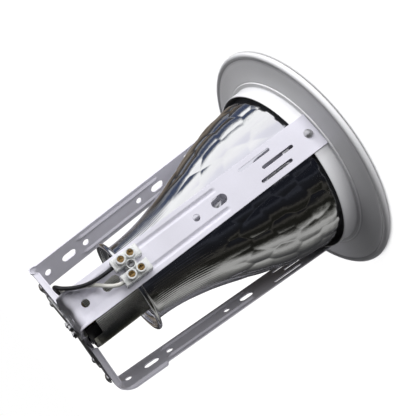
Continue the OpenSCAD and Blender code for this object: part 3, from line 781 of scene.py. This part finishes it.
lead("lead_black_routed", BLACK_ROUTE, "black_insulation", "lead_black")
lead("lead_white_routed", WHITE_ROUTE, "white_sleeving", "lead_white")
trim_ring()
reflector()
leg("leg_front", FRONT_FOOT_END)
leg("leg_right", SIDE_FOOT_END)
leg("leg_left", SIDE_FOOT_END)
holder_sleeve()
contact_spring()

REFINED = {  # CAD node: finish, size of the softened edge
    "terminal_housing": ("milky_plastic", 0.45),
    "holder_core": ("black_plastic", 0.3),
    "holder_ring": ("black_plastic", 0.3),
    "holder_bracket": ("zinc_steel", 0.2),
    "hub_plate": ("zinc_steel", 0.2),
    "terminal_mount_screw": ("dull_steel", 0.15),
    "terminal_mount_washer": ("bright_steel", 0.12),
    "terminal_mount_nut": ("zinc_steel", 0.2),
    "foot_washer_right": ("black_rubber", 0.2)}
for k in (1, 2, 3):
    REFINED[f"hub_screw_{k}"] = ("bright_steel", 0.2)
    REFINED[f"hub_nut_{k}"] = ("bright_steel", 0.25)
for k in (1, 2, 3, 4):
    REFINED[f"clamp_screw_{k}"] = ("brass", 0.15)
for side in ("right", "left"):
    REFINED[f"foot_screw_{side}"] = ("bright_steel", 0.2)
for pole in ("live", "neutral"):
    REFINED[f"holder_terminal_{pole}"] = ("brass", 0.2)
    REFINED[f"holder_screw_{pole}"] = ("bright_steel", 0.15)

body_of_node = {n: b for b, ns in frame["record"]["behaviour"]["bodies"].items() for n in ns}
for cad_node, (finish, bevel) in REFINED.items():
    place(refine(cad_node, finish, bevel), finish, body_of_node[cad_node], cad_node)

# The other CAD nodes are shown as they are, in the record's finishes, but for the
# rivets, which are duller than the screws.
stood_for = set(REFINED) | {"trim_ring", "reflector", "holder_sleeve", "contact_spring",
                            "lead_black", "lead_white", *LEG_AZ}
slots = {row["node"]: row["material_slot"] for row in frame["record"]["subparts"]}
for cad_node, obj in frame["nodes"].items():
    if cad_node not in stood_for:
        riveted = "rivet" in cad_node
        obj.data.materials.clear()
        obj.data.materials.append(MAT["satin_steel" if riveted else slots[cad_node]])

# ------------------------------------------------------- floor, light and world
# Distances are in metres from here on.

MIDDLE = Vector((0, 0, 0.1))     # what the lamps are aimed at
SOFTBOX_AWAY = 1.2


def floor():
    """Pale paper that only the camera sees. It doesn't show in the bell's polish,
    as in the photograph, and throws no light or shadow on the object."""
    size, gap = 60.0, 0.0004
    mesh = bpy.data.meshes.new("floor")
    mesh.from_pydata([(-size, -size, 0), (size, -size, 0), (size, size, 0), (-size, size, 0)],
                     [], [(0, 1, 2, 3)])
    obj = bpy.data.objects.new("floor", mesh)
    obj.location.z = -gap
    bpy.context.scene.collection.objects.link(obj)
    m = Nodes("floor_paper").set(Roughness=0.9, Specular_IOR_Level=0.1)
    m.link(m.mottle(m.noise(3.0), (0.94, 0.94, 0.94), (0.96, 0.96, 0.96)), "Base Color")
    mesh.materials.append(m.mat)
    obj.visible_glossy = obj.visible_diffuse = obj.visible_transmission = False
    obj.visible_shadow = False
    return obj


def around(azimuth, elevation, distance):
    """A place round the object: azimuth from -Y towards +X, in degrees."""
    a, e = radians(azimuth), radians(elevation)
    return Vector((sin(a) * cos(e), -cos(a) * cos(e), sin(e))) * distance + MIDDLE


def softbox(name, azimuth, elevation, size, power):
    """A soft light on the object alone; the bell mirrors the room instead."""
    data = bpy.data.lights.new(name, "AREA")
    data.shape, data.size = "SQUARE", size
    data.energy = power
    obj = bpy.data.objects.new(name, data)
    obj.location = around(azimuth, elevation, SOFTBOX_AWAY)
    obj.rotation_euler = (MIDDLE - obj.location).to_track_quat("-Z", "Y").to_euler()
    bpy.context.scene.collection.objects.link(obj)
    obj.visible_glossy = False
    link_light(obj, "EXCLUDE")


def link_light(light, state):
    """The light leaves the floor out, or lights nothing else."""
    group = bpy.data.collections.new(light.name + "_receivers")
    group.objects.link(paper)
    group.collection_objects[0].light_linking.link_state = state
    light.light_linking.receiver_collection = group


def floor_light():
    """An even light on the paper alone."""
    data = bpy.data.lights.new("floor_light", "SUN")
    data.energy, data.angle = 3.7, radians(100)
    obj = bpy.data.objects.new("floor_light", data)
    bpy.context.scene.collection.objects.link(obj)
    obj.visible_glossy = False
    link_light(obj, "INCLUDE")


# What stands round the fitting and shows in its polish, by azimuth in degrees
# from -Y towards +X: white from the front to the right, then a navy band with a
# grey strip beyond it and a warm grey card behind on the right, a grey card on
# the left, and a dark room between them.
ROOM = [
    (-180, (0.045, 0.045, 0.047)), (-146, (0.04, 0.04, 0.042)),
    (-130, (0.09, 0.09, 0.088)), (-118, (0.2, 0.2, 0.19)), (-110, (0.37, 0.37, 0.355)),
    (-99, (0.38, 0.38, 0.365)), (-93, (0.2, 0.2, 0.19)), (-88, (0.12, 0.12, 0.11)),
    (-82, (0.012, 0.012, 0.01)), (-68, (0.01, 0.01, 0.008)), (-61, (0.045, 0.043, 0.038)),
    (-55, (0.008, 0.008, 0.009)), (-38, (0.012, 0.013, 0.016)), (-30, (0.03, 0.032, 0.04)),
    (-24, (0.008, 0.009, 0.013)), (-8, (0.012, 0.013, 0.018)), (-2, (0.3, 0.3, 0.31)),
    (6, (0.8, 0.8, 0.86)), (44, (0.84, 0.84, 0.92)), (60, (0.98, 0.98, 1.0)),
    (86, (1.02, 1.03, 1.03)), (91, (0.5, 0.51, 0.53)), (96, (0.06, 0.075, 0.12)),
    (108, (0.05, 0.065, 0.12)), (114, (0.3, 0.31, 0.33)), (119, (0.02, 0.022, 0.03)),
    (132, (0.13, 0.11, 0.09)), (142, (0.2, 0.17, 0.14)), (158, (0.26, 0.235, 0.21)),
    (166, (0.05, 0.05, 0.05)), (180, (0.045, 0.045, 0.047))]


def world():
    """White to the camera, the room to polished surfaces, a faint even light to
    everything else."""
    studio = bpy.data.worlds.new("studio")
    bpy.context.scene.world = studio
    studio.use_nodes = True
    tree = studio.node_tree
    tree.nodes.clear()

    def output(socket, kind, inputs=None, **props):
        return add_node(tree, kind, inputs, **props).outputs[socket]

    def background(colour, strength):
        return output(0, "ShaderNodeBackground", {"Color": colour, "Strength": strength})

    def mix(factor, first, second):
        return output(0, "ShaderNodeMixShader", {0: factor, 1: first, 2: second})

    ray = add_node(tree, "ShaderNodeLightPath").outputs
    way = add_node(tree, "ShaderNodeSeparateXYZ", {
        0: output("Generated", "ShaderNodeTexCoord")}).outputs
    ahead = output(0, "ShaderNodeMath", {0: way["Y"], 1: -1.0}, operation="MULTIPLY")
    azimuth = output(0, "ShaderNodeMath", {0: way["X"], 1: ahead}, operation="ARCTAN2")
    share = output("Result", "ShaderNodeMapRange", {"Value": azimuth, "From Min": -pi,
                                                    "From Max": pi})
    bands = add_ramp(tree, share, [((degrees + 180) / 360, c) for degrees, c in ROOM])
    unseen = mix(ray["Is Glossy Ray"], background((0.95, 0.95, 1.0, 1), 0.045),
                 background(bands, 1.0))
    seen = mix(ray["Is Camera Ray"], unseen, background((1, 1, 1, 1), 1.0))
    add_node(tree, "ShaderNodeOutputWorld", {"Surface": seen})


paper = floor()
world()
floor_light()
softbox("key", 60, 7, 0.7, 11.5)
softbox("front", 8, -15, 0.6, 10)
softbox("behind", 180, -4, 0.6, 11)
softbox("left", -135, -3, 0.6, 2)
bpy.context.scene.view_settings.view_transform = "Standard"
